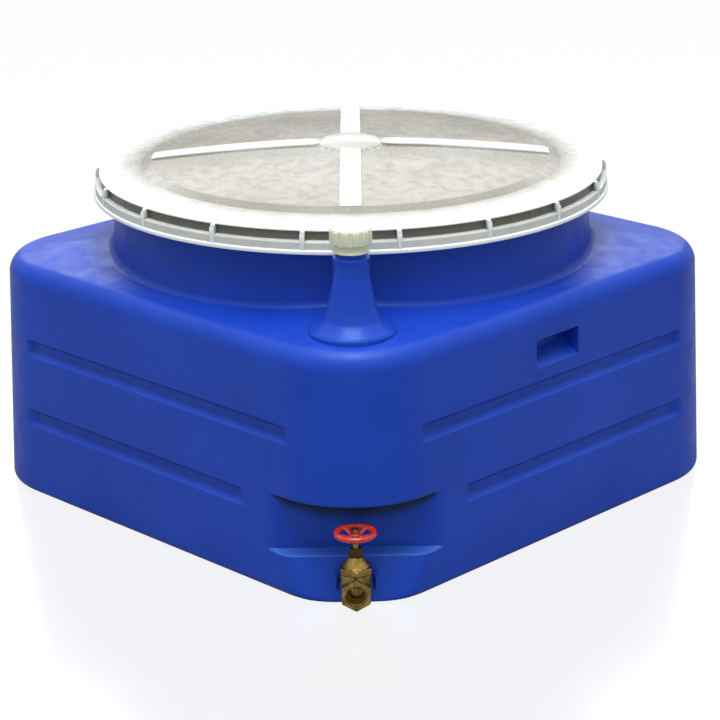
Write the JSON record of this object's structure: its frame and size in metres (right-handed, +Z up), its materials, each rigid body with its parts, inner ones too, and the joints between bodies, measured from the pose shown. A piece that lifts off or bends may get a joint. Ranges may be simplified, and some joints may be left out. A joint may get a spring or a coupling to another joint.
{
  "type": "live fish tank",
  "caption": "Square moulded live fish tank with a large round screw lid, capped filler spout and brass gate valve drain in a corner recess.",
  "frame": {"origin": "centre of the tank's flat bottom, on the floor", "axes": "+Z up along the lid's axis; walls face X and Y; the spout and the drain valve are on the diagonal towards +X -Y; the hand grips are in the walls at +X and -X"},
  "size_m": [0.8494, 0.8494, 0.5373],
  "materials": {
    "tank_blue": "satin rotational moulding",
    "lid_ivory": "gloss, slightly translucent",
    "cap_ivory": "gloss, slightly translucent",
    "seal_rubber": "matt",
    "liner_foam": "matt",
    "valve_brass": "cast and machined",
    "packing_grey": "matt",
    "wheel_red": "gloss paint"
  },
  "bodies": {
    "tank": {"tank_shell": "tank_blue", "drain_nipple": "valve_brass", "inner_washer": "seal_rubber", "outer_washer": "seal_rubber", "inner_lock_nut": "valve_brass", "outer_lock_nut": "valve_brass", "valve_body": "valve_brass", "bonnet_gasket": "packing_grey", "valve_bonnet": "valve_brass", "gland_packing": "packing_grey", "gland_follower": "valve_brass", "gland_nut": "valve_brass"},
    "lid_seal": {"lid_seal": "seal_rubber"},
    "lid": {"lid": "lid_ivory"},
    "cap_liner": {"spout_cap_liner": "liner_foam"},
    "cap": {"spout_cap": "cap_ivory"},
    "spindle": {"valve_stem": "valve_brass", "handwheel": "wheel_red", "wheel_washer": "valve_brass", "wheel_nut": "valve_brass"},
    "gate": {"valve_gate": "valve_brass"}
  },
  "joints": [
    {"name": "lid_lift", "type": "slide", "parent": "tank", "child": "lid_seal", "axis": [0, 0, 1], "range_m": [0, 0.3]},
    {"name": "lid_turn", "type": "hinge", "parent": "lid_seal", "child": "lid", "pos_m": [0, 0, 0.4917], "axis": [0, 0, 1], "range_deg": [0, 540]},
    {"name": "cap_lift", "type": "slide", "parent": "tank", "child": "cap_liner", "axis": [0, 0, 1], "range_m": [0, 0.07]},
    {"name": "cap_turn", "type": "hinge", "parent": "cap_liner", "child": "cap", "pos_m": [0.31113, -0.31113, 0.5122], "axis": [0, 0, 1], "range_deg": [0, 720]},
    {"name": "handwheel_turn", "type": "hinge", "parent": "tank", "child": "spindle", "pos_m": [0.38643, -0.38643, 0.1127], "axis": [0, 0, 1], "range_deg": [0, 2250]},
    {"name": "gate_rise", "type": "slide", "parent": "tank", "child": "gate", "axis": [0, 0, 1], "range_m": [0, 0.025]}
  ],
  "couplings": [
    {"joint": "gate_rise", "follows": "handwheel_turn", "m_per_rad": 0.00063662}
  ]
}
